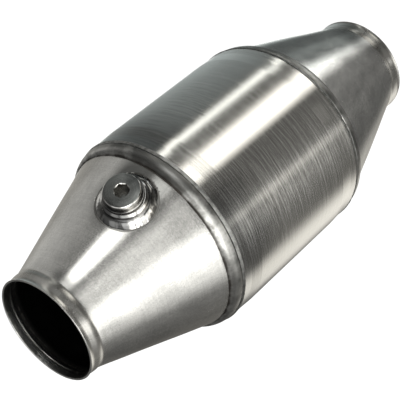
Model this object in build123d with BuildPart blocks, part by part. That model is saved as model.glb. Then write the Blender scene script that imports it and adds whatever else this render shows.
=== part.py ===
"""Exhaust catalytic converter with a wound metal honeycomb, standing on its outlet mouth.

Millimetres, +Z up. The origin is the centre of the outlet mouth, in the plane of its lip. The gas comes in
at the top, and the sensor boss of the inlet cone faces -Y.
"""

import os
from math import atan2, cos, floor, pi, sin, tan

from build123d import *

# Overall sizes
total_length = 305.0
sheet = 1.5
seat_gap = 0.05

# Brushed shell, slightly drawn in at both ends
shell_radius = 65.0
shell_draw_in = 0.5
shell_land = 6.5
shell_draw_length = 9.0
edge_break = 0.3

# Spun cones, measured from their mouths
pipe_radius = 32.5
pipe_clearance = 0.1
mouth_flare = 0.35
flare_length = 4.5
collar_length = 10.6
collar_bend = 8.0
shoulder_drop = 0.2
shoulder_rise = 4.0
shoulder_length = 7.6
shoulder_bulge = 1.1
joint_width = 1.8
skirt_setback = 0.9

# Girth welds between the cones and the shell
weld_crown = 0.15
weld_root = 0.4

# Wound honeycomb: flat and wavy foils in turn, four of each
foil_starts = 4
layer_pitch = 7.2
flat_foil_thickness = 0.4
wavy_foil_thickness = 0.5
foil_gap = 0.15
wave_length = 9.4
crest_share = 0.16
core_radius = 5.0
matrix_length = 74.5
matrix_inset = 3.55
arcs_per_turn = 10

# Sensor boss on the inlet cone, its plug and washer
boss_to_crease = 21.3
boss_radius = 13.6
boss_height = 6.55
boss_chamfer = 1.3
boss_root_depth = 5.0
boss_bead = 3.7
bead_rounding = 3.0
thread_radius = 9.0
thread_clearance = 0.05
cone_hole_clearance = 0.4
washer_radius = 12.0
washer_thickness = 1.5
plug_head_radius = 11.0
plug_head_height = 4.0
plug_head_chamfer = 0.5
plug_shank_length = 12.0
plug_tip_chamfer = 1.0
hex_across_flats = 8.0
hex_depth = 6.5
hex_lead_in = 0.6
hex_lead_in_angle = 45.0

# Sizes that follow from the ones above
collar_bore = pipe_radius + pipe_clearance
collar_radius = collar_bore + sheet
shell_end_radius = shell_radius - shell_draw_in
shell_bore = shell_radius - sheet
shell_length = matrix_length + 2 * (matrix_inset + shell_draw_length + shell_land)
shell_start = (total_length - shell_length) / 2
skirt_radius = shell_end_radius - sheet - seat_gap
skirt_length = shell_land - skirt_setback
shoulder_radius = shell_end_radius - shoulder_drop
shoulder_height = shell_start - joint_width
crease_radius = shoulder_radius - shoulder_rise
crease_height = shoulder_height - shoulder_length
cone_angle = atan2(crease_radius - collar_radius, crease_height - collar_length)
matrix_bottom = (total_length - matrix_length) / 2
matrix_radius = shell_bore - foil_gap
foil_lead = foil_starts * layer_pitch
wave_swing = (layer_pitch - flat_foil_thickness - wavy_foil_thickness) / 2 - foil_gap
boss_surface_radius = crease_radius - boss_to_crease * tan(cone_angle)
boss_height_on_cone = crease_height - boss_to_crease

# The section plane of each end has its first axis outwards and its second into the body
outlet_section = Plane(origin=(0, 0, 0), x_dir=(1, 0, 0), z_dir=(0, -1, 0))
inlet_section = Plane(origin=(0, 0, total_length), x_dir=(1, 0, 0), z_dir=(0, 1, 0))
boss_plane = Plane(
    origin=(0, -boss_surface_radius, total_length - boss_height_on_cone),
    x_dir=(1, 0, 0),
    z_dir=(0, -cos(cone_angle), sin(cone_angle)),
)
boss_axis = Axis(boss_plane.origin, boss_plane.z_dir)

os.makedirs("parts", exist_ok=True)


# The shell is one rolled sheet: a straight barrel whose ends are drawn in over a short taper, so that the
# skirts of the cones sit snugly inside.
with BuildPart() as outer_shell:
    with BuildSketch(outlet_section):
        with BuildLine():
            Polyline(
                (shell_end_radius, shell_start),
                (shell_end_radius, shell_start + shell_land),
                (shell_radius, shell_start + shell_land + shell_draw_length),
                (shell_radius, total_length - shell_start - shell_land - shell_draw_length),
                (shell_end_radius, total_length - shell_start - shell_land),
                (shell_end_radius, total_length - shell_start),
            )
            offset(amount=sheet, side=Side.LEFT)
        make_face()
    revolve(axis=Axis.Z)
    shell_rims = outer_shell.edges().filter_by(GeomType.CIRCLE)
    chamfer(
        [rim for rim in shell_rims.group_by(Axis.Z)[0] if rim.radius > shell_bore]
        + [rim for rim in shell_rims.group_by(Axis.Z)[-1] if rim.radius > shell_bore],
        length=edge_break,
    )
outer_shell.part.label = "outer_shell"
export_step(outer_shell.part, "parts/outer_shell.step")


# Both cones are spun to the same section: a flared lip, a straight collar for the pipe, the long cone, a
# crease, a rounded shoulder, and a skirt that is joggled down by the shell's thickness to slip inside it.
with BuildSketch() as cone_section:
    with BuildLine():
        flare_slope = mouth_flare / flare_length
        FilletPolyline(
            (collar_radius + mouth_flare + flare_slope * sheet, -sheet),
            (collar_radius, flare_length),
            (collar_radius, collar_length),
            (crease_radius, crease_height),
            radius=collar_bend,
        )
        shoulder_middle = (
            (crease_radius + shoulder_radius) / 2 + shoulder_bulge * cos(cone_angle),
            (crease_height + shoulder_height) / 2 - shoulder_bulge * sin(cone_angle),
        )
        ThreePointArc((crease_radius, crease_height), shoulder_middle, (shoulder_radius, shoulder_height))
        Polyline(
            (shoulder_radius, shoulder_height),
            (skirt_radius, shell_start - 2 * seat_gap - weld_root),
            (skirt_radius, shell_start + skirt_length),
        )
        offset(amount=sheet, side=Side.LEFT)
    make_face()

with BuildPart() as outlet_cone:
    with BuildSketch(outlet_section):
        add(cone_section.sketch)
    revolve(axis=Axis.Z)
    split(bisect_by=Plane.XY, keep=Keep.TOP)
outlet_cone.part.label = "outlet_cone"
export_step(outlet_cone.part, "parts/outlet_cone.step")

with BuildPart() as inlet_cone:
    with BuildSketch(inlet_section):
        add(cone_section.sketch)
    revolve(axis=Axis.Z)
    split(bisect_by=Plane.XY.offset(total_length), keep=Keep.BOTTOM)
    with BuildSketch(boss_plane.offset(-boss_root_depth)):
        Circle(thread_radius + cone_hole_clearance)
    extrude(amount=2 * boss_root_depth, mode=Mode.SUBTRACT)
inlet_cone.part.label = "inlet_cone"
export_step(inlet_cone.part, "parts/inlet_cone.step")


# Each girth weld fills the valley between the shoulder, the skirt and the shell's edge, and is dressed to a
# low crown.
with BuildSketch() as weld_section:
    weld_end = shell_start - seat_gap
    Polygon(
        (shoulder_radius, shoulder_height + seat_gap),
        (shell_end_radius + weld_crown, (shoulder_height + shell_start) / 2),
        (shell_end_radius, weld_end),
        (skirt_radius + seat_gap, weld_end),
        (skirt_radius + seat_gap, weld_end - weld_root),
        align=None,
    )

with BuildPart() as outlet_weld:
    with BuildSketch(outlet_section):
        add(weld_section.sketch)
    revolve(axis=Axis.Z)
outlet_weld.part.label = "outlet_weld"
export_step(outlet_weld.part, "parts/outlet_weld.step")

with BuildPart() as inlet_weld:
    with BuildSketch(inlet_section):
        add(weld_section.sketch)
    revolve(axis=Axis.Z)
inlet_weld.part.label = "inlet_weld"
export_step(inlet_weld.part, "parts/inlet_weld.step")


# The boss is a turned ring whose foot is cut to the cone that it stands on.
with BuildSketch() as cone_body:
    Polygon(
        (0, collar_length),
        (collar_radius + seat_gap, collar_length),
        (crease_radius + seat_gap, crease_height),
        (0, crease_height),
        align=None,
    )

with BuildPart() as sensor_boss:
    with BuildSketch(boss_plane.offset(-boss_root_depth)):
        Circle(boss_radius)
    extrude(amount=boss_root_depth + boss_height)
    chamfer(sensor_boss.faces().sort_by(boss_axis)[-1].edges(), boss_chamfer)
    with BuildSketch(inlet_section):
        add(cone_body.sketch)
    revolve(axis=Axis.Z, mode=Mode.SUBTRACT)
    with BuildSketch(boss_plane.offset(boss_height)):
        Circle(thread_radius + thread_clearance)
    extrude(amount=-boss_height - boss_root_depth, mode=Mode.SUBTRACT)
sensor_boss.part.label = "sensor_boss"
export_step(sensor_boss.part, "parts/sensor_boss.step")


# The bead around the boss keeps the same height above the curved cone all the way round, and its outer
# edge is rounded over.
with BuildSketch() as bead_body:
    Polygon(
        (0, collar_length),
        (collar_radius + boss_bead, collar_length),
        (crease_radius + boss_bead, crease_height),
        (0, crease_height),
        align=None,
    )

with BuildPart() as boss_weld:
    with BuildSketch(boss_plane.offset(-boss_root_depth)):
        Circle(boss_radius + boss_bead)
        Circle(boss_radius + seat_gap, mode=Mode.SUBTRACT)
    extrude(amount=boss_root_depth + boss_height)
    with BuildSketch(inlet_section):
        add(bead_body.sketch)
    revolve(axis=Axis.Z, mode=Mode.INTERSECT)
    bead_top = boss_weld.faces().filter_by(GeomType.CONE)[0]
    fillet(bead_top.edges().sort_by(SortBy.LENGTH)[-1], bead_rounding)
    with BuildSketch(inlet_section):
        add(cone_body.sketch)
    revolve(axis=Axis.Z, mode=Mode.SUBTRACT)
boss_weld.part.label = "boss_weld"
export_step(boss_weld.part, "parts/boss_weld.step")


# The washer lies flat on the boss, and the plug's head lies flat on the washer.
with BuildPart() as sealing_washer:
    with BuildSketch(boss_plane.offset(boss_height)):
        Circle(washer_radius)
        Circle(thread_radius + thread_clearance, mode=Mode.SUBTRACT)
    extrude(amount=washer_thickness)
sealing_washer.part.label = "sealing_washer"
export_step(sealing_washer.part, "parts/sealing_washer.step")

plug_seat = boss_height + washer_thickness
plug_top = plug_seat + plug_head_height

with BuildPart() as sensor_plug:
    with BuildSketch(boss_plane.offset(plug_seat)):
        Circle(plug_head_radius)
    extrude(amount=plug_head_height)
    with BuildSketch(boss_plane.offset(plug_seat)):
        Circle(thread_radius)
    extrude(amount=-plug_shank_length)
    plug_ends = sensor_plug.faces().sort_by(boss_axis)
    chamfer(plug_ends[-1].edges(), plug_head_chamfer)
    chamfer(plug_ends[0].edges(), plug_tip_chamfer)
    with BuildSketch(boss_plane.offset(plug_top)):
        RegularPolygon(hex_across_flats / 2, 6, major_radius=False)
    extrude(amount=-hex_depth, mode=Mode.SUBTRACT)
    socket_mouth = hex_across_flats / 2 / cos(pi / 6) + seat_gap
    with BuildSketch(boss_plane.offset(plug_top)):
        Circle(socket_mouth)
    extrude(amount=-hex_lead_in, taper=hex_lead_in_angle, mode=Mode.SUBTRACT)
sensor_plug.part.label = "sensor_plug"
export_step(sensor_plug.part, "parts/sensor_plug.step")


# A foil's middle line is a spiral; each foil starts a share of a turn after its neighbour.
def spiral_radius(angle):
    return core_radius + foil_lead * angle / (2 * pi)


def spiral_point(angle, lift):
    """The point at an angle along the spiral, lifted outwards by a distance."""
    radius = spiral_radius(angle) + lift
    return (radius * cos(angle), radius * sin(angle))


def foil_plane(number):
    """The plane that a foil is drawn on, turned about the body's axis to where the foil starts."""
    angle = 2 * pi * number / foil_starts
    return Plane(origin=(0, 0, matrix_bottom), x_dir=(cos(angle), sin(angle), 0), z_dir=(0, 0, 1))


flat_end = 2 * pi * (matrix_radius - flat_foil_thickness / 2 - core_radius) / foil_lead
flat_steps = floor(flat_end / (2 * pi) * arcs_per_turn)
flat_step = flat_end / flat_steps

with BuildSketch() as flat_foil_section:
    with BuildLine():
        for lift in (flat_foil_thickness / 2, -flat_foil_thickness / 2):
            for step in range(flat_steps):
                start = step * flat_step
                ThreePointArc(
                    spiral_point(start, lift),
                    spiral_point(start + flat_step / 2, lift),
                    spiral_point(start + flat_step, lift),
                )
        for angle in (0, flat_end):
            Line(spiral_point(angle, flat_foil_thickness / 2), spiral_point(angle, -flat_foil_thickness / 2))
    make_face()

for number in range(foil_starts):
    with BuildPart() as flat_foil:
        with BuildSketch(foil_plane(number)):
            add(flat_foil_section.sketch)
        extrude(amount=matrix_length)
    flat_foil.part.label = f"flat_foil_{number + 1}"
    export_step(flat_foil.part, f"parts/flat_foil_{number + 1}.step")


# A wavy foil runs in the space outside its flat foil. Each wave has a flat trough, a rise, a flat crest and
# a fall, so that it bears on the foils below and above it.
def wavy_corners():
    """The angle and the lift of each corner of the wave, from the core to the shell."""
    corners = []
    angle = 0
    crest = wave_length * crest_share
    slope = wave_length / 2 - crest
    middle = layer_pitch / 2
    while spiral_radius(angle) + layer_pitch - flat_foil_thickness / 2 < matrix_radius:
        for lift, run in ((-1, crest), (-1, slope), (1, crest), (1, slope)):
            corners.append((angle, middle + lift * wave_swing))
            angle += run / (spiral_radius(angle) + middle)
    return corners


with BuildSketch() as wavy_foil_section:
    with BuildLine():
        half_foil = wavy_foil_thickness / 2
        outside = [spiral_point(angle, lift + half_foil) for angle, lift in wavy_corners()]
        inside = [spiral_point(angle, lift - half_foil) for angle, lift in wavy_corners()]
        Polyline(*outside, *reversed(inside), close=True)
    make_face()

for number in range(foil_starts):
    with BuildPart() as wavy_foil:
        with BuildSketch(foil_plane(number)):
            add(wavy_foil_section.sketch)
        extrude(amount=matrix_length)
    wavy_foil.part.label = f"wavy_foil_{number + 1}"
    export_step(wavy_foil.part, f"parts/wavy_foil_{number + 1}.step")
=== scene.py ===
# %% [markdown]
# # A catalytic converter, dressed in Blender
# The metal honeycomb converter comes in from the CAD model as a fixed frame: a brushed barrel, two spun
# cones, a sensor boss with its plug, and the wound foils inside. This script keeps every size and place, and
# gives the pieces their finish: hairline brushing, satin spinning marks, rippled welds and fine foils.

# %% Load the frame
import random
from math import atan2, cos, degrees, hypot, pi, radians, sin, tan, tau

import bmesh
import bpy
from mathutils import Matrix, Vector, noise


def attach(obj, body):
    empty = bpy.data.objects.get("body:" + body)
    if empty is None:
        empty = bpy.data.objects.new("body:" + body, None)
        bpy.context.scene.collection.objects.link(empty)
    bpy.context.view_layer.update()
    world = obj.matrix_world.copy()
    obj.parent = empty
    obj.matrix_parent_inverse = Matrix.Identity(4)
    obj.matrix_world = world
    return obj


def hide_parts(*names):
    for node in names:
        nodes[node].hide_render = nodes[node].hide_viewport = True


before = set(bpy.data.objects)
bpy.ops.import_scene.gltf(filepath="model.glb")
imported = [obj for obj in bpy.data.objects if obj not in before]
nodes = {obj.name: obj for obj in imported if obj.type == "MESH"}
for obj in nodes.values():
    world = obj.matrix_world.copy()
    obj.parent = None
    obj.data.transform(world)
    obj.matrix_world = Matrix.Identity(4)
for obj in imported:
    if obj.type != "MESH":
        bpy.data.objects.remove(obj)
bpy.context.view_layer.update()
print("nodes:", sorted(nodes))

# %% [markdown]
# ## The camera
# The photograph looks down on the inlet cone from a hand's height, with a long lens, and the camera is rolled
# so that the inlet mouth lies at the lower left. A camera can be aimed with a constraint, but a constraint
# can't roll it. Three directions, right, up and back, are put into its matrix instead.

# %% Camera
camera_place = Vector((-0.31071, -0.55438, 0.59799))
camera_right = Vector((-0.77264, -0.05450, -0.63250))
camera_up = Vector((0.48835, -0.68762, -0.53730))
camera_back = camera_right.cross(camera_up)

camera = bpy.data.objects.new("photo_camera", bpy.data.cameras.new("photo_camera"))
bpy.context.scene.collection.objects.link(camera)
camera.matrix_world = Matrix.Translation(camera_place) @ Matrix(
    (camera_right, camera_up, camera_back)
).transposed().to_4x4()
camera.data.lens = 112.86
camera.data.sensor_width = 36.0
camera.data.clip_start = 0.01
camera.data.dof.use_dof = False
bpy.context.scene.camera = camera
bpy.context.scene.view_settings.view_transform = "Standard"
print("camera looks along", [round(-x, 3) for x in camera_back])

# %% [markdown]
# ## Shader maths as Python
# Node trees are easier to read as sums than as wires. A small class wraps the output of a node, and Python's
# own operators add the Math nodes. One more class holds a node tree and adds every other kind of node.


# %% A value that varies over a surface
class Value:
    """The output of a node, with Python's arithmetic."""

    def __init__(self, shader, socket):
        self.shader = shader
        self.socket = socket

    def __add__(self, other):
        return self.shader.maths("ADD", self, other)

    __radd__ = __add__

    def __mul__(self, other):
        return self.shader.maths("MULTIPLY", self, other)

    def __sub__(self, other):
        return self.shader.maths("SUBTRACT", self, other)

    def __rsub__(self, other):
        return self.shader.maths("SUBTRACT", other, self)


# %% A node tree that is written as expressions
class Shader:
    """The node tree of a material or of the world."""

    def __init__(self, owner):
        owner.use_nodes = True
        self.tree = owner.node_tree
        self.tree.nodes.clear()

    def node(self, kind, settings=None, sockets=None, output=0):
        """Adds a node: its settings first, then the values or links of its sockets."""
        made = self.tree.nodes.new(kind)
        for name, value in (settings or {}).items():
            setattr(made, name, value)
        for name, value in (sockets or {}).items():
            if isinstance(value, Value):
                self.tree.links.new(value.socket, made.inputs[name])
            else:
                made.inputs[name].default_value = value
        return Value(self, made.outputs[output]) if made.outputs else made

    def maths(self, operation, *values):
        return self.node("ShaderNodeMath", {"operation": operation}, dict(enumerate(values)))

    def limit(self, value):
        """The value, held between 0 and 1."""
        return self.node("ShaderNodeMath", {"operation": "ADD", "use_clamp": True}, {0: value, 1: 0.0})

    def step(self, value, start, end):
        """A smooth step from 0 at start to 1 at end."""
        return self.node(
            "ShaderNodeMapRange",
            {"interpolation_type": "SMOOTHSTEP"},
            {"Value": value, "From Min": start, "From Max": end},
        )

    def band(self, value, middle, none, full):
        """0 where a value lies as far from the middle as none, and 1 where it lies as far as full."""
        return self.step(self.maths("ABSOLUTE", value - middle), none, full)

    def parts(self, point):
        """The three coordinates of a point, each as a value."""
        made = self.node("ShaderNodeSeparateXYZ", {}, {0: point})
        return [Value(self, socket) for socket in made.socket.node.outputs]

    def vector(self, operation, first, second, output="Vector"):
        """Maths on two points or directions."""
        return self.node("ShaderNodeVectorMath", {"operation": operation}, {0: first, 1: second}, output)

    def stretch(self, point, scale):
        """The point, with each of its axes scaled, to draw a pattern out along a direction."""
        return self.vector("MULTIPLY", point, scale)

    def grain(self, point, size=1.0, detail=2.0, roughness=0.5, distortion=0.0):
        """Noise from 0 to 1 with about this many blotches to the unit."""
        sockets = {"Vector": point, "Scale": size, "Detail": detail}
        sockets.update({"Roughness": roughness, "Distortion": distortion})
        return self.node("ShaderNodeTexNoise", {}, sockets)

    def rings(self, value, scale, detail=3.0):
        """Noise from 0 to 1 that varies with one value only."""
        return self.node(
            "ShaderNodeTexNoise", {"noise_dimensions": "1D"}, {"W": value, "Scale": scale, "Detail": detail}
        )

    def blend(self, share, first, second):
        """A colour between two colours."""
        return self.node(
            "ShaderNodeMix", {"data_type": "RGBA"}, {"Factor": share, 6: first, 7: second}, output=2
        )


print("shader classes ready")

# %% [markdown]
# ## The studio
# Bare metal has hardly any colour of its own: it shows the room. The photograph's barrel shows tall soft
# panels and dark gaps between them. Lamps could stand in a ring, but each would add noise. The same panels
# are painted on the world here, each as a smooth patch of azimuth and elevation, so all round the object the
# light is soft. One more patch takes light away, for the dark band on the barrel and on the inlet cone.

# %% World
world = bpy.data.worlds.new("studio")
bpy.context.scene.world = world
studio = Shader(world)
view_direction = studio.node("ShaderNodeTexCoord", output="Generated")
direction_x, direction_y, direction_z = studio.parts(view_direction)
azimuth = studio.maths("ARCTAN2", direction_x, direction_y * -1.0) * degrees(1)
elevation = studio.maths("ARCSINE", direction_z) * degrees(1)


def panel(middle, width, edge, lowest, highest, fade, level):
    """A soft panel of the studio, by degrees: 0 is in front of the boss, negative to its left."""
    turned = studio.maths("FLOORED_MODULO", azimuth - (middle - 180.0), 360.0)
    sides = studio.band(turned, 180.0, width / 2 + edge, width / 2 - edge)
    bottom = studio.step(elevation, lowest - fade, lowest + fade)
    top = studio.step(elevation, highest + fade, highest - fade)
    return sides * bottom * top * level


# middle, width, edge, lowest, highest, fade, level
studio_panels = {
    "wide key": (-3, 22, 7, -51, -28, 5, 3.3),
    "wide key side": (9, 12, 7, -51, -24, 6, 0.42),
    "wide key foot": (21, 40, 8, -75, -64, 2, 4.0),
    "foot strip": (80, 12, 4, -70, -62, 2, 0.4),
    "foot cloud": (-25, 60, 16, -82, -64, 3, 0.16),
    "thin strip": (35, 7, 2, -54, -16, 12, 2.8),
    "front streak": (9, 20, 5, -2, 12, 3, 5.6),
    "front gap": (-16, 12, 6, -4, 4, 3, 0.7),
    "side key": (-82, 44, 24, -11, 2, 5, 3.2),
    "collar light": (-72, 24, 9, -21, -13, 4, 2.4),
    "far collar light": (-78, 16, 6, -62, -53, 3, 1.6),
    "side key top": (-47, 90, 18, 15, 38, 3, 2.3),
    "front upper": (-56, 64, 16, 5, 10, 3, 4.0),
    "far glow": (-45, 26, 8, -62, -43, 4, 0.2),
    "side edge": (-68, 7, 4, -37, -20, 6, 0.8),
    "low left": (-118, 40, 12, -12, 4, 4, 0.12),
    "back left": (-159, 39, 13, -51, -27, 8, 1.2),
    "right wall": (71, 110, 14, -14, 2, 4, 0.5),
    "right low": (128, 55, 26, -47, 4, 4, 0.27),
    "far edge": (143, 20, 5, -47, -28, 3, 1.2),
    "right base": (114, 130, 40, -48, -38, 5, 0.4),
    "left wall": (-115, 80, 9, -46, -6, 16, 0.05),
    "top left": (-74, 48, 12, 20, 66, 6, 4.0),
    "top": (0, 360, 1, 40, 95, 10, 0.32),
    "zenith": (0, 360, 1, 74, 95, 6, 1.5),
}
room_level = 0.13
ground_level = 0.06
light = studio.step(elevation, -50.0, -80.0) * ground_level + room_level
for settings in studio_panels.values():
    light = light + panel(*settings)
dark_gap = panel(-42, 22, 7, -39, 8, 9, 0.94)
collar_glow = panel(-44, 22, 8, -24, -13, 4, 0.45)
light = light * (1.0 - dark_gap) + collar_glow
seen_by_camera = studio.node("ShaderNodeLightPath", output="Is Camera Ray")
strength = light * (1.0 - seen_by_camera) + seen_by_camera
cool_side = studio.band(azimuth, 90.0, 70.0, 30.0) * studio.step(elevation, -24.0, -34.0)
warm_height = studio.step(elevation, -62.0, -50.0) * studio.step(elevation, -8.0, -22.0)
warm_light = studio.blend(warm_height, (0.99, 0.99, 0.96, 1), (1.0, 0.97, 0.89, 1))
tint = studio.blend(cool_side, warm_light, (0.9, 1.0, 0.99, 1))
tint = studio.blend(seen_by_camera, tint, (1, 1, 1, 1))
background = studio.node("ShaderNodeBackground", {}, {"Color": tint, "Strength": strength})
studio.node("ShaderNodeOutputWorld", {}, {"Surface": background})
print("studio panels:", len(studio_panels))

# %% [markdown]
# ## The floor
# The converter stands on its outlet mouth on a pale sheet. The sheet is lit like any card and keeps a soft
# shadow, but the camera sees most of it as plain white. Other rays pass through it, so the metal shows the
# studio below the horizon too, as it would over a glass table.

# %% Floor
floor_radius = 2.5
floor_drop = 0.0002
floor_mesh = bmesh.new()
bmesh.ops.create_circle(floor_mesh, cap_ends=True, segments=96, radius=floor_radius)
bmesh.ops.translate(floor_mesh, verts=floor_mesh.verts, vec=(0, 0, -floor_drop))
floor = bpy.data.objects.new("floor", bpy.data.meshes.new("floor"))
floor_mesh.to_mesh(floor.data)
floor_mesh.free()
bpy.context.scene.collection.objects.link(floor)

glow_strength = 1.18
glow_share = 0.83
floor_material = bpy.data.materials.new("floor_card")
card = Shader(floor_material)
card_paper = card.node("ShaderNodeBsdfDiffuse", {}, {"Color": (0.9, 0.9, 0.9, 1)})
card_glow = card.node("ShaderNodeEmission", {}, {"Color": (1, 1, 1, 1), "Strength": glow_strength})
card_seen = card.node("ShaderNodeMixShader", {}, {"Fac": glow_share, 1: card_paper, 2: card_glow})
card_clear = card.node("ShaderNodeBsdfTransparent")
card_camera = card.node("ShaderNodeLightPath", output="Is Camera Ray")
card_surface = card.node("ShaderNodeMixShader", {}, {"Fac": card_camera, 1: card_clear, 2: card_seen})
card.node("ShaderNodeOutputMaterial", {}, {"Surface": card_surface})
floor.data.materials.append(floor_material)
print("floor faces:", len(floor.data.polygons))

# %% [markdown]
# ## Where the boss sits
# The boss stands square to the flank of the inlet cone. Its axis is needed for its own pieces, and also for
# the finish: turned parts carry rings round that axis, and the cone around it is darker, from the heat of its
# weld and from painted shade. The middles of the patches of painted shade on the cones are set here too,
# since each lies by a form of the part. Sizes are in millimetres here, and places in metres.

# %% Main sizes, and the axis of the boss
length = 305.0
collar, collar_depth = 34.1, 10.6
crease_radius, crease_depth = 60.3, 86.8
matrix_length = 74.5
drill_radius = 9.4
middle_height = length / 2000
slope = atan2(crease_radius - collar, crease_depth - collar_depth)
boss_foot = Vector((0, -0.0529776, 0.2395))
boss_out = Vector((0, -cos(slope), sin(slope)))
boss_along = Vector((0, sin(slope), cos(slope)))
boss_matrix = Matrix((Vector((1, 0, 0)), boss_along, boss_out)).transposed().to_4x4()
boss_matrix.translation = boss_foot
# Middles of the patches of painted shade: dark reflections painted on both collars, by the crease and by the
# shoulder.
collar_shade_turn = radians(-6)
collar_shade_middle = Vector((34.2 * sin(collar_shade_turn), -34.2 * cos(collar_shade_turn), length - 7.0)) / 1000
crease_shade_middle = Vector((2.0, -58.5, 222.0)) / 1000
shoulder_shade_middle = Vector((-16.0, -61.5, 213.0)) / 1000
outlet_shade_middle = Vector((-4.5, -34.0, 8.0)) / 1000
# Middles of the painted shade on two sides of the boss.
inlet_side_shade = boss_foot + 0.014 * boss_along + 0.003 * boss_out + Vector((-0.004, 0, 0))
crease_side_shade = boss_foot - 0.015 * boss_along + 0.003 * boss_out + Vector((-0.005, 0, 0))
print("flank slope in degrees:", round(degrees(slope), 2))

# %% [markdown]
# ## Brushed steel
# The barrel is brushed round and round, so each scratch runs round the body. The scratches blur a reflection
# along the axis and leave it sharp round the body: the anisotropic lobe is turned a quarter. The hairlines
# are straight rings in three sets of different fineness. Noise that is drawn out round the body fades one set
# into another, so that no line runs all the way. Near the inlet end, a strip on the side of the bright
# reflection is painted darker: painted shade that dims that reflection.


# %% Metal finish helpers
def object_point(shader):
    """The point on the surface, in the object's own coordinates."""
    return shader.node("ShaderNodeTexCoord", output="Object")


def shade_patch(shader, point, middle, tone, reach, core):
    """1 within the core of a patch of painted shade and 0 beyond its reach, in millimetres, with an edge that
    wanders.
    """
    away = shader.vector("DISTANCE", point, middle, "Value")
    return shader.step(away * 1000 + (tone - 0.5) * 7, reach, core)


def shaded_by_boss(shader, point, tone, colour):
    """Paints shade into a colour on two sides of the boss, where dark reflections are painted as a darker
    colour.
    """
    near = shade_patch(shader, point, inlet_side_shade, tone, 14.0, 7.0) * 0.85
    far = shade_patch(shader, point, crease_side_shade, tone, 17.0, 9.0) * 0.8
    return shader.blend(shader.limit(near + far), colour, (0.03, 0.032, 0.035, 1))


def metal(shader, colour, roughness, bump, bump_height, anisotropy=0.0, turn=0.0):
    """Closes a metal's node tree: the principled shader with a bump, and the output."""
    relief = shader.node("ShaderNodeBump", {}, {"Strength": 1.0, "Distance": bump_height, "Height": bump})
    surface = shader.node(
        "ShaderNodeBsdfPrincipled",
        {},
        {
            "Base Color": colour,
            "Metallic": 1.0,
            "Roughness": roughness,
            "Anisotropic": anisotropy,
            "Anisotropic Rotation": turn,
            "Normal": relief,
        },
    )
    shader.node("ShaderNodeOutputMaterial", {}, {"Surface": surface})


# %% Brushed shell
shell_material = bpy.data.materials.new("brushed_shell")
brushed = Shader(shell_material)
place = object_point(brushed)
across, _, height = brushed.parts(place)
sets_of_lines = [
    brushed.step(brushed.rings(height + shift, scale), 0.38, 0.62)
    for shift, scale in ((0.0, 700.0), (3.1, 950.0), (7.7, 1300.0))
]
swap = brushed.step(brushed.grain(brushed.stretch(place, (46, 46, 420)), detail=3.0), 0.4, 0.6)
fade = brushed.step(brushed.grain(brushed.stretch(place, (75, 75, 900)), detail=2.0), 0.35, 0.65)
hairline = sets_of_lines[0] * swap + sets_of_lines[1] * (1.0 - swap)
hairline = hairline * fade + sets_of_lines[2] * (1.0 - fade)
clouds = brushed.grain(place, 22.0, detail=3.0)
bright_side = -0.0135
# Painted shade: a darker strip near the inlet end, on the side where the bright reflection runs.
inlet_end_painted_shade = brushed.step(height + (clouds - 0.5) * 0.024, 0.165, 0.209)
inlet_end_painted_shade = inlet_end_painted_shade * brushed.band(across, bright_side, 0.015, 0.023)
inlet_end_painted_shade = inlet_end_painted_shade * brushed.step(across, -0.0648, -0.063)
shell_colour = brushed.blend(hairline, (0.54, 0.535, 0.52, 1), (0.68, 0.675, 0.66, 1))
shell_colour = brushed.blend(inlet_end_painted_shade * 0.62, shell_colour, (0.12, 0.125, 0.13, 1))
shell_roughness = 0.14 + hairline * 0.08 + clouds * 0.04
metal(brushed, shell_colour, shell_roughness, hairline, 0.000003, anisotropy=0.96, turn=0.25)
print("brushed_shell nodes:", len(brushed.tree.nodes))

# %% [markdown]
# ## Spun steel
# The cones are spun from sheet on a lathe and left satin. Fine tool marks run round them, soft grey blotches
# and a few rub marks lie over the marks. The shoulder by each weld is darker, from heat tint and from painted
# shade. Dirt and painted shade lie in the crease, a dark line runs round the toe of the boss's bead, and soft
# patches of painted shade lie by the boss, the crease, the shoulder and the collars.

# %% Rings round the boss
def round_boss(shader, point):
    """Where a point lies by the boss: along its axis, and away from its axis, in metres."""
    arm = shader.vector("SUBTRACT", point, boss_foot)
    along = shader.vector("DOT_PRODUCT", arm, boss_out, "Value")
    shadow = shader.node("ShaderNodeVectorMath", {"operation": "SCALE"}, {0: boss_out, "Scale": along})
    across = shader.vector("SUBTRACT", arm, shadow)
    away = shader.node("ShaderNodeVectorMath", {"operation": "LENGTH"}, {0: across}, output="Value")
    return along, away


# %% Spun cones
cone_material = bpy.data.materials.new("spun_cone")
satin = Shader(cone_material)
place = object_point(satin)
height = satin.parts(place)[2]
from_middle = satin.maths("ABSOLUTE", height - middle_height) * 1000
tool_marks = satin.grain(satin.stretch(place, (16, 16, 1300)), detail=2.0)
blotches = satin.grain(place, 42.0, detail=6.0, roughness=0.6)
patches = satin.grain(satin.stretch(place, (70, 70, 22)), detail=5.0, roughness=0.65, distortion=0.6)
rubs = satin.grain(satin.stretch(place, (420, 420, 40)), detail=3.0, roughness=0.6)
specks = satin.grain(place, 900.0, detail=1.0)
near_collar = satin.step(from_middle, 136.0, 143.0)
grit = satin.grain(place, 1000.0, detail=2.0, roughness=0.6)
grit = (grit - 0.5) * (1.0 - near_collar * 0.85) + 0.5
cone_tone = blotches * 0.27 + patches * 0.27 + rubs * 0.12 + tool_marks * 0.1 + grit * 0.24
cone_colour = satin.blend(satin.step(cone_tone, 0.38, 0.62), (0.46, 0.455, 0.44, 1), (0.66, 0.65, 0.63, 1))
cone_colour = satin.blend(satin.step(specks, 0.74, 0.8) * 0.6, cone_colour, (0.16, 0.15, 0.14, 1))
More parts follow.
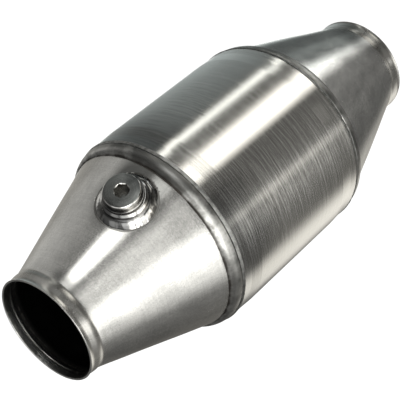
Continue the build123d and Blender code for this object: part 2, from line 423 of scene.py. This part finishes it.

# Dirt and painted shade in the crease, dirt at the barrel's seat, and a dark line round the toe of the boss's
# bead
wander = blotches - 0.5
crease_line = satin.band(from_middle + wander * 1.2, 65.55, 0.95, 0.15)
mottles = satin.step(satin.grain(place, 130.0, detail=3.0, roughness=0.6), 0.36, 0.64)
crease_shade = satin.band(from_middle + wander * 3, 64.9, 2.6, 0.6) * mottles
notches = satin.grain(satin.stretch(place, (500, 500, 200)), detail=2.0)
seat_dirt = satin.step(from_middle, 59.3, 58.5) * satin.step(notches, 0.5, 0.66)
boss_depth, boss_away = round_boss(satin, place)
by_boss = satin.step(boss_depth * 1000, -25.0, -15.0)
toe_line = satin.band(boss_away * 1000 + wander * 2, 18.0, 0.9, 0.1) * by_boss
# Dirt with painted crease shade, blended into the cone's colour below.
grime_and_crease_shade = satin.limit(crease_line * 0.75 + crease_shade * 0.5 + seat_dirt * 0.5 + toe_line * 0.6)

# Heat tint of the welds and the bead, with painted shade, and patches of painted shade: middle, reach, core,
# share
shoulder_band = satin.step(from_middle, 65.8, 65.0)
# The shoulder is darker towards the weld: heat tint, with painted shade where its reflection is dark.
weld_heat_and_shade = shoulder_band * (satin.step(from_middle + (patches - 0.5) * 6, 65.5, 59.5) * 0.4 + 0.32)
# Darker round the boss's bead: heat tint, with painted shade over the flank highlight beside it.
bead_heat_and_shade = satin.step(boss_away * 1000 + wander * 5, 25.0, 16.5) * by_boss
heat_tint_and_painted_shade = weld_heat_and_shade * (mottles * 0.6 + 0.72) + bead_heat_and_shade * 0.5
# Patches of painted shade, where dark reflections are painted as a darker colour.
for middle, reach, core, share in (
    (collar_shade_middle, 12.5, 4.5, 0.85),
    (crease_shade_middle, 24.0, 10.0, 0.9),
    (shoulder_shade_middle, 15.0, 5.0, 0.5),
    (outlet_shade_middle, 27.0, 9.0, 0.8),
):
    heat_tint_and_painted_shade = heat_tint_and_painted_shade + shade_patch(satin, place, middle, blotches, reach, core) * share
cone_colour = satin.blend(satin.limit(heat_tint_and_painted_shade), cone_colour, (0.15, 0.15, 0.145, 1))
cone_colour = satin.blend(grime_and_crease_shade, cone_colour, (0.06, 0.055, 0.05, 1))
cone_roughness = 0.14 + (grit - 0.5) * 0.12 + patches * 0.1 + blotches * 0.08
cone_roughness = cone_roughness + grime_and_crease_shade * 0.25 + shoulder_band * 0.1 + near_collar * 0.05
cone_relief = tool_marks * 0.15 + rubs * 0.12 + patches * 0.6 + blotches * 0.4 + grit * 0.1
metal(satin, cone_colour, cone_roughness, cone_relief, 0.00004, anisotropy=0.5, turn=0.25)
print("spun_cone nodes:", len(satin.tree.nodes))

# %% [markdown]
# ## Welds, turned parts and foils
# The other pieces share two finishes. Welds, seams and foils show blotches of two tones. Turned parts show
# fine rings round the axis of the boss. Both get painted shade on two sides of the boss: dark reflections
# painted as a darker colour.


# %% Other metals
def plain_metal(name, dark, pale, roughness, scale, height):
    """A welded or rolled metal with blotches of two tones."""
    material = bpy.data.materials.new(name)
    shader = Shader(material)
    point = object_point(shader)
    tone = shader.grain(point, scale, detail=4.0, roughness=0.6)
    colour = shader.blend(shader.step(tone, 0.35, 0.65), dark, pale)
    colour = shaded_by_boss(shader, point, tone, colour)
    metal(shader, colour, roughness + tone * 0.1, tone, height)
    return material


def turned_metal(name, dark, pale, roughness, height):
    """A turned metal: fine rings round the axis of the boss, and faint blotches."""
    material = bpy.data.materials.new(name)
    shader = Shader(material)
    point = object_point(shader)
    along, away = round_boss(shader, point)
    ring_point = shader.node("ShaderNodeCombineXYZ", {}, {0: away, 1: along})
    rings = shader.grain(ring_point, 2600.0, detail=2.0)
    tone = shader.grain(point, 170.0, detail=3.0)
    colour = shader.blend(shader.step(rings * 0.6 + tone * 0.4, 0.35, 0.65), dark, pale)
    colour = shaded_by_boss(shader, point, tone, colour)
    metal(shader, colour, roughness + tone * 0.08, rings, height)
    return material


# Dark tone, pale tone, roughness, blotches to the metre, relief in metres
plain_finishes = {
    "weld_bead": ((0.46, 0.45, 0.44, 1), (0.64, 0.63, 0.61, 1), 0.11, 260.0, 0.00001),
    "dressed_seam": ((0.15, 0.15, 0.145, 1), (0.27, 0.27, 0.26, 1), 0.36, 320.0, 0.00003),
    "foil_steel": ((0.5, 0.46, 0.41, 1), (0.7, 0.67, 0.62, 1), 0.32, 200.0, 0.00003),
}
# Dark tone, pale tone, roughness, relief in metres
turned_finishes = {
    "turned_boss": ((0.46, 0.45, 0.44, 1), (0.62, 0.61, 0.59, 1), 0.09, 0.000002),
    "washer_ring": ((0.36, 0.35, 0.34, 1), (0.5, 0.49, 0.47, 1), 0.09, 0.000002),
    "plug_steel": ((0.44, 0.435, 0.42, 1), (0.58, 0.57, 0.55, 1), 0.08, 0.000002),
    "plug_face": ((0.15, 0.157, 0.152, 1), (0.22, 0.228, 0.222, 1), 0.12, 0.000004),
    "pressed_socket": ((0.3, 0.27, 0.24, 1), (0.5, 0.46, 0.42, 1), 0.1, 0.000004),
}
metals = {name: plain_metal(name, *settings) for name, settings in plain_finishes.items()}
metals.update({name: turned_metal(name, *settings) for name, settings in turned_finishes.items()})
print("plain metals ready")

# %% [markdown]
# ## A helper for spun pieces
# Most of the converter was made by turning something round its axis, so most pieces here are spun too: a
# few corners of the section are joined to a loop, the corners that need it are rounded, and the loop is spun
# round an axis. That gives even faces with the edges running where a tool would have run.

# %% Spin a section
corner_segments = 6
long_edge_cuts = 17


def finished(name, mesh, materials, replaced, smooth_angle=35):
    """Turns a bmesh into a piece that rides on the body, with its finish and the nodes that it stands for."""
    data = bpy.data.meshes.new(name)
    mesh.to_mesh(data)
    mesh.free()
    data.shade_smooth()
    data.set_sharp_from_angle(angle=radians(smooth_angle))
    piece = bpy.data.objects.new(name, data)
    bpy.context.scene.collection.objects.link(piece)
    for material in materials:
        data.materials.append(material)
    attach(piece, "root")
    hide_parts(*replaced)
    print(name, "faces:", len(data.polygons))
    return piece


def spun(section, steps, longest=1.0):
    """A closed section of (radius, height, rounding) corners in millimetres, spun round the Z axis."""
    mesh = bmesh.new()
    corners = [mesh.verts.new((radius / 1000, 0, height / 1000)) for radius, height, _ in section]
    for first, second in zip(corners, corners[1:] + corners[:1]):
        mesh.edges.new((first, second))
    for corner, (_, _, rounding) in zip(corners, section):
        if rounding:
            bmesh.ops.bevel(
                mesh, geom=[corner], offset=rounding / 1000, offset_type="OFFSET", segments=corner_segments,
                profile=0.5, affect="VERTICES", clamp_overlap=True, material=-1,
            )
    long_edges = [edge for edge in mesh.edges if edge.calc_length() > longest]
    if long_edges:
        bmesh.ops.subdivide_edges(mesh, edges=long_edges, cuts=long_edge_cuts)
    bmesh.ops.spin(
        mesh, geom=mesh.verts[:] + mesh.edges[:], cent=(0, 0, 0), axis=(0, 0, 1), dvec=(0, 0, 0),
        angle=tau, steps=steps, use_merge=True, use_normal_flip=False, use_duplicate=False,
    )
    bmesh.ops.remove_doubles(mesh, verts=mesh.verts, dist=1e-7)
    bmesh.ops.delete(mesh, geom=[edge for edge in mesh.edges if not edge.link_faces], context="EDGES")
    bmesh.ops.recalc_face_normals(mesh, faces=mesh.faces)
    return mesh


# %% [markdown]
# ## The spun cones
# Each cone is one sheet, spun over a former: a slightly flared lip, a collar that the pipe slips into, the
# long flank, a pressed crease and a round shoulder, and a skirt that slips into the barrel. The CAD cone has
# the same forms. This section adds what the eye looks for: the rounded lip, the shallow waist of the collar,
# one soft pressed line behind it, the sharp valley at the crease, and the slightly uneven flank of hand work.

# %% Section of a cone, from its mouth
cone_section = [
    (34.35, 0.0, 0.4),
    (33.65, 2.0, 1.2),
    (34.35, 7.0, 1.2),
    (34.05, 9.4, 0.7),
    (34.45, 10.9, 0.6),
    (35.6, 14.6, 3.0),
    (crease_radius - 0.05, crease_depth - 0.3, 0.25),
    (crease_radius - 0.15, crease_depth + 0.35, 0.3),
    (61.9, crease_depth + 1.2, 1.3),
    (63.5, crease_depth + 3.6, 2.0),
    (64.25, crease_depth + 7.3, 0.5),
    (62.95, crease_depth + 8.6, 0.0),
    (62.95, 101.8, 0.3),
    (61.45, 101.8, 0.3),
    (61.45, crease_depth + 8.2, 1.0),
    (58.75, crease_depth + 0.6, 2.0),
    (32.75, 10.9, 4.0),
    (32.55, 6.4, 0.4),
    (32.42, 5.4, 0.3),
    (32.62, 4.6, 0.3),
    (33.0, 0.0, 0.35),
]


flank_start, flank_end = 0.013, 0.086
wave_height = 0.00016


def dress_cone(mesh, seed, belly):
    """Gives the flank a slight belly and the waves of hand spinning, with nothing moved at the seats."""
    for vertex in mesh.verts:
        radius = hypot(vertex.co.x, vertex.co.y)
        depth = min(vertex.co.z, length / 1000 - vertex.co.z)
        if not flank_start < depth < flank_end:
            continue
        ease = min(1.0, (depth - flank_start) / 0.012, (flank_end - depth) / 0.01)
        wave = noise.noise(vertex.co * 28 + Vector((seed, 0, 0))) + 0.4 * noise.noise(vertex.co * 70)
        share = (depth - flank_start) / (flank_end - flank_start)
        swell = (wave_height * ease * wave + belly * sin(pi * share) ** 2 * (0.4 + share)) / radius
        vertex.co.x += vertex.co.x * swell
        vertex.co.y += vertex.co.y * swell


# %% Spin both cones
cone_steps = 192
cone_smooth_angle = 55
inlet_section = [(radius, length - depth, rounding) for radius, depth, rounding in cone_section]
outlet_mesh = spun(cone_section, cone_steps, longest=0.05)
inlet_mesh = spun(inlet_section, cone_steps, longest=0.05)
for mesh, seed, belly in ((outlet_mesh, 3.0, 0.0004), (inlet_mesh, 11.0, 0.0)):
    dress_cone(mesh, seed, belly)
    for face in mesh.faces:
        middle = face.calc_center_median()
        inwards = face.normal.x * middle.x + face.normal.y * middle.y < 0
        face.material_index = int(inwards and abs(face.normal.z) < 0.9)
print("cone vertices:", len(inlet_mesh.verts))

# %% [markdown]
# ## Inside the cones
# Inside, the sheet was never polished, and little light gets there, so its colour is painted as shade: dark
# grey for the first few millimetres behind the lip, which still catch some light and show streaks, and close
# to black deeper down. The pale parts of the streaks are scrapes with painted glints.

# %% Inner wall
inner_material = bpy.data.materials.new("inner_wall")
inner = Shader(inner_material)
place = object_point(inner)
height = inner.parts(place)[2]
from_mouth = middle_height - inner.maths("ABSOLUTE", height - middle_height)
streaks = inner.grain(inner.stretch(place, (55, 55, 1100)), detail=4.0, roughness=0.65)
glints = inner.grain(place, 330.0, detail=2.0)
near_lip = inner.step(from_mouth, 0.012, 0.005)
# Painted shade: dark grey near the lip, close to black deeper inside.
inner_painted_shade = inner.blend(near_lip, (0.01, 0.01, 0.011, 1), (0.26, 0.26, 0.255, 1))
# Pale scrapes near the lip, with painted glints.
scrapes_and_glints = inner.step(streaks, 0.46, 0.66) * inner.step(glints, 0.4, 0.6) * near_lip
inner_colour = inner.blend(scrapes_and_glints, inner_painted_shade, (0.62, 0.61, 0.58, 1))
metal(inner, inner_colour, 0.36 - near_lip * 0.16 + streaks * 0.1, streaks, 0.00006)
print("inner_wall nodes:", len(inner.tree.nodes))

# %% Outlet cone
cone_metals = [cone_material, inner_material]
finished("outlet_cone_skin", outlet_mesh, cone_metals, ["outlet_cone"], cone_smooth_angle)

# %% [markdown]
# ## The hole for the sensor
# The inlet cone has a round hole under the boss. An exact Boolean cuts it, because the drill comes in square
# to the flank and no edge loop of a spun mesh follows that line. The result is kept and the drill is removed.


# %% A cut with a tool
def cut_with(piece, tool_mesh):
    """Cuts a bmesh tool out of a piece, keeps the result and removes the tool."""
    tool = bpy.data.objects.new("tool", bpy.data.meshes.new("tool"))
    tool_mesh.to_mesh(tool.data)
    tool_mesh.free()
    bpy.context.scene.collection.objects.link(tool)
    cut = piece.modifiers.new("cut", "BOOLEAN")
    cut.object = tool
    cut.solver = "EXACT"
    bpy.context.view_layer.update()
    result = bpy.data.meshes.new_from_object(piece.evaluated_get(bpy.context.evaluated_depsgraph_get()))
    piece.modifiers.clear()
    piece.data = result
    bpy.data.objects.remove(tool)
    print(piece.name, "faces after the cut:", len(result.polygons))


# %% Inlet cone with its sensor hole
inlet_skin = finished(
    "inlet_cone_skin", inlet_mesh, cone_metals, ["inlet_cone"], cone_smooth_angle
)
drill_mesh = bmesh.new()
bmesh.ops.create_cone(
    drill_mesh, cap_ends=True, segments=64, radius1=drill_radius / 1000, radius2=drill_radius / 1000,
    depth=0.02, matrix=boss_matrix,
)
cut_with(inlet_skin, drill_mesh)

# %% [markdown]
# ## Girth welds
# A fine bead closes the gap between each shoulder and the barrel. It was run by machine and dressed, so it is
# hardly proud, but its edge wanders and there are small pits where the dressing stopped short.

# %% Bead round each end of the barrel
girth_steps = 360
pit_count = 26
crown_start = 0.0640
shoulder_end, barrel_start = 94.45, 96.15


def girth_bead(name, ends, replaced, seed):
    """A spun bead from the shoulder to the barrel's edge, with a wandering crown and a few pits."""
    shoulder, barrel = ends
    root = barrel - (barrel - shoulder) * 0.22
    section = [
        (64.2, shoulder, 0.05),
        (64.55, (shoulder + barrel) / 2, 0.5),
        (64.85, barrel, 0.05),
        (63.05, barrel, 0.0),
        (63.05, root, 0.0),
    ]
    mesh = spun(section, girth_steps)
    chance = random.Random(seed)
    pits = [
        (chance.uniform(0, tau), chance.uniform(0.006, 0.016), chance.uniform(0.4, 1.0))
        for _ in range(pit_count)
    ]
    for vertex in mesh.verts:
        radius = hypot(vertex.co.x, vertex.co.y)
        if radius < crown_start:
            continue
        turn = atan2(vertex.co.y, vertex.co.x) % tau
        ripple = 0.00003 * sin(turn * 190 + 3 * noise.noise(vertex.co * 60))
        ripple += 0.00006 * noise.noise(vertex.co * 220 + Vector((seed, 0, 0)))
        for pit, width, depth in pits:
            away = abs((turn - pit + pi) % tau - pi)
            if away < width:
                ripple -= 0.0005 * depth * (1 - away / width)
        vertex.co.x *= 1 + ripple / radius
        vertex.co.y *= 1 + ripple / radius
    return finished(name, mesh, [metals["dressed_seam"]], [replaced], smooth_angle=60)


girth_bead("outlet_weld_bead", (shoulder_end, barrel_start), "outlet_weld", 5)
girth_bead("inlet_weld_bead", (length - shoulder_end, length - barrel_start), "inlet_weld", 8)

# %% [markdown]
# ## The bead round the boss
# This one was run by hand and shows it: overlapping ripples, a toe that wanders on the cone, and a few balls
# of spatter. A ring is spun round the boss's own axis, bent down to the cone's saddle, and rippled.


# %% Saddle of the cone under the boss
def saddle(point):
    """How far below the boss's foot plane the cone lies under a point, along the boss's axis."""
    drop = 0.0
    for _ in range(6):
        there = point - boss_out * drop
        depth = length / 1000 - there.z
        flank = collar / 1000 + (depth - collar_depth / 1000) * tan(slope)
        drop += (hypot(there.x, there.y) - flank) * cos(slope)
    return drop


def boss_ring(section, steps):
    """A closed section of (radius, height, rounding) corners, spun round the boss's axis."""
    mesh = spun(section, steps)
    bmesh.ops.transform(mesh, matrix=boss_matrix, verts=mesh.verts)
    return mesh


# %% Boss bead
bead_steps = 300
spatter_count = 15
bead_mesh = boss_ring(
    [
        (13.65, -0.6, 0.0), (17.3, -0.25, 0.0), (17.75, 0.2, 0.25), (16.9, 1.35, 0.5), (15.9, 2.6, 0.9),
        (14.6, 3.55, 0.5), (13.65, 3.75, 0.0),
    ],
    bead_steps,
)
boss_inverse = boss_matrix.inverted()
for vertex in bead_mesh.verts:
    local = boss_inverse @ vertex.co
    around = atan2(local.y, local.x)
    out = hypot(local.x, local.y)
    drop = saddle(boss_matrix @ Vector((local.x, local.y, 0)))
    spread = min(1.0, max(0.0, (out - 0.0138) / 0.003))
    bite = 0.00002 * sin(around * 38 + 5 * noise.noise(Vector((cos(around), sin(around), 0)) * 3))
    wander = 0.0006 * noise.noise(Vector((cos(around) * 2.2, sin(around) * 2.2, 4.0)))
    rough = 0.00014 * noise.noise(local * 130) + 0.00002 * noise.noise(local * 600)
    grow = 1 + (bite + wander + rough) * spread / out
    lift = (bite * 0.9 + rough) * spread * (1.0 if local.z > 0 else 0.0)
    vertex.co = boss_matrix @ Vector((local.x * grow, local.y * grow, local.z + lift)) - boss_out * drop
chance = random.Random(21)
for _ in range(spatter_count):
    around = chance.uniform(-2.6, 0.5)
    out = chance.uniform(0.0176, 0.0192)
    foot = boss_matrix @ Vector((out * cos(around), out * sin(around), 0))
    foot = foot - boss_out * (saddle(foot) - 0.0001)
    size = chance.uniform(0.00022, 0.00048)
    bmesh.ops.create_icosphere(bead_mesh, subdivisions=2, radius=size, matrix=Matrix.Translation(foot))
finished("boss_weld_bead", bead_mesh, [metals["weld_bead"]], ["boss_weld"], smooth_angle=50)

# %% [markdown]
# ## The turned parts on the boss
# The boss, the washer and the screw plug are lathe work, so they are spun round the axis of the boss with
# small rounded edges that catch the light. The foot of the boss is bent to the saddle like the bead. The
# plug's thread is drawn as rings. Its hexagon socket is cut in first, and the wider conical mouth after it.

# %% Boss, washer and plug
turned_steps = 160
boss_mesh = boss_ring(
    [
        (9.15, 0.06, 0.0), (13.55, 0.06, 0.0), (13.55, 5.3, 0.25), (12.3, 6.53, 0.25), (9.6, 6.53, 0.1),
        (9.15, 6.1, 0.1),
    ],
    turned_steps,
)
for vertex in boss_mesh.verts:
    local = boss_inverse @ vertex.co
    if local.z < 1:
        vertex.co -= boss_out * saddle(boss_matrix @ Vector((local.x, local.y, 0)))
finished("boss_turned", boss_mesh, [metals["turned_boss"]], ["sensor_boss"])

washer_section = [(9.3, 6.57, 0.1), (12.0, 6.57, 0.35), (12.0, 8.03, 0.35), (9.3, 8.03, 0.1)]
washer_mesh = boss_ring(washer_section, turned_steps)
finished("washer_turned", washer_mesh, [metals["washer_ring"]], ["sealing_washer"])

plug_steps = 144
thread_core, thread_crest, thread_pitch, thread_turns = 8.2, 8.95, 1.5, 7
plug_section = [
    (0.0, 12.02, 0.0), (10.45, 12.02, 0.2), (11.0, 11.45, 0.2), (11.0, 8.4, 0.15), (10.7, 8.07, 0.0),
    (thread_core, 8.07, 0.0),
]
for turn in range(thread_turns):
    drop = thread_pitch * turn
    plug_section += [
        (thread_core, 7.2 - drop, 0.0), (thread_crest, 6.6 - drop, 0.0), (thread_core, 6.0 - drop, 0.0),
    ]
plug_section += [(7.6, -3.9, 0.2), (0.0, -3.9, 0.0)]
plug_mesh = boss_ring(plug_section, plug_steps)
for face in plug_mesh.faces:
    height_on_boss = (boss_inverse @ face.calc_center_median()).z
    face.material_index = 2 * int(face.normal.dot(boss_out) > 0.95 and height_on_boss > 0.0118)
plug_metals = [metals["plug_steel"], metals["pressed_socket"], metals["plug_face"]]
plug = finished("plug_turned", plug_mesh, plug_metals, ["sensor_plug"])

# %% Hexagon socket and its mouth
socket_radius = 0.00462
socket_mesh = bmesh.new()
bmesh.ops.create_cone(
    socket_mesh, cap_ends=True, segments=6, radius1=socket_radius, radius2=socket_radius, depth=0.013,
    matrix=boss_matrix @ Matrix.Translation((0, 0, 0.01205)),
)
for face in socket_mesh.faces:
    face.material_index = 1 if abs(face.normal.dot(boss_out)) < 0.5 else 2
cut_with(plug, socket_mesh)
mouth_mesh = bmesh.new()
bmesh.ops.create_cone(
    mouth_mesh, cap_ends=True, segments=96, radius1=0.0034, radius2=0.006, depth=0.0026,
    matrix=boss_matrix @ Matrix.Translation((0, 0, 0.0122)),
)
cut_with(plug, mouth_mesh)

# %% [markdown]
# ## The honeycomb
# The CAD foils are drawn coarse. The real ones are a few hundredths of a millimetre thick, with cells a
# little over a millimetre high, so they are wound again here. A long flat strip gets its waves and is then
# rolled up on a spiral, as the winding machine does: every vertex of a plain grid is moved along the strip.

# %% Wind the foils
foil_starts = 4
foil_pitch = 1.42
foil_wave = 2.5
foil_core = 2.4
foil_rim = 63.2
foil_clear = 0.07
foil_sheet = 0.06
flat_step = 2.2
steps_to_a_wave = 6
crest_flatness = 1.3
foil_lead = foil_starts * foil_pitch / 1000
foil_length = pi * (foil_rim**2 - foil_core**2) / 1e6 / foil_lead


def wound_foil(name, start, waves, replaced):
    """One of the eight foils: a strip that is pressed into waves, or left flat, and rolled up."""
    strip = bmesh.new()
    waves_along = int(foil_length * 1000 / foil_wave)
    pieces = waves_along * steps_to_a_wave if waves else int(foil_length * 1000 / flat_step)
    bmesh.ops.create_grid(strip, x_segments=pieces, y_segments=1, size=0.5)
    for vertex in strip.verts:
        run = (vertex.co.x + 0.5) * foil_length
        radius = (foil_core**2 / 1e6 + foil_lead * run / pi) ** 0.5
        turn = start + tau * (radius - foil_core / 1000) / foil_lead
        if waves:
            swing = max(-1.0, min(1.0, crest_flatness * sin(tau * run * 1000 / foil_wave)))
            radius += (foil_pitch / 2 + swing * (foil_pitch / 2 - foil_clear)) / 1000
        height = middle_height + vertex.co.y * matrix_length / 1000
        vertex.co = (radius * cos(turn), radius * sin(turn), height)
    piece = finished(name, strip, [metals["foil_steel"]], [replaced], smooth_angle=20)
    sheet = piece.modifiers.new("foil_thickness", "SOLIDIFY")
    sheet.thickness = foil_sheet / 1000
    sheet.offset = 0.0
    return piece


for number in range(foil_starts):
    start = tau * number / foil_starts
    wound_foil(f"flat_foil_fine_{number + 1}", start, False, f"flat_foil_{number + 1}")
    wound_foil(f"wavy_foil_fine_{number + 1}", start, True, f"wavy_foil_{number + 1}")
print("each foil is", round(foil_length, 2), "m long")

# %% [markdown]
# ## The CAD nodes
# The barrel is shown as the CAD model has it. The other nodes are stood for by the pieces above, and each
# still gets the finish of its own metal.

# %% Give each node its finish
finish_of = {
    "outer_shell": shell_material,
    "sensor_boss": metals["turned_boss"],
    "sealing_washer": metals["washer_ring"],
    "sensor_plug": metals["plug_steel"],
    "boss_weld": metals["weld_bead"],
    "inlet_weld": metals["dressed_seam"],
    "outlet_weld": metals["dressed_seam"],
}
for name, node in nodes.items():
    node.data.materials.clear()
    finish = metals["foil_steel"] if "foil" in name else finish_of.get(name, cone_material)
    node.data.materials.append(finish)
print("nodes with a finish:", len(nodes))
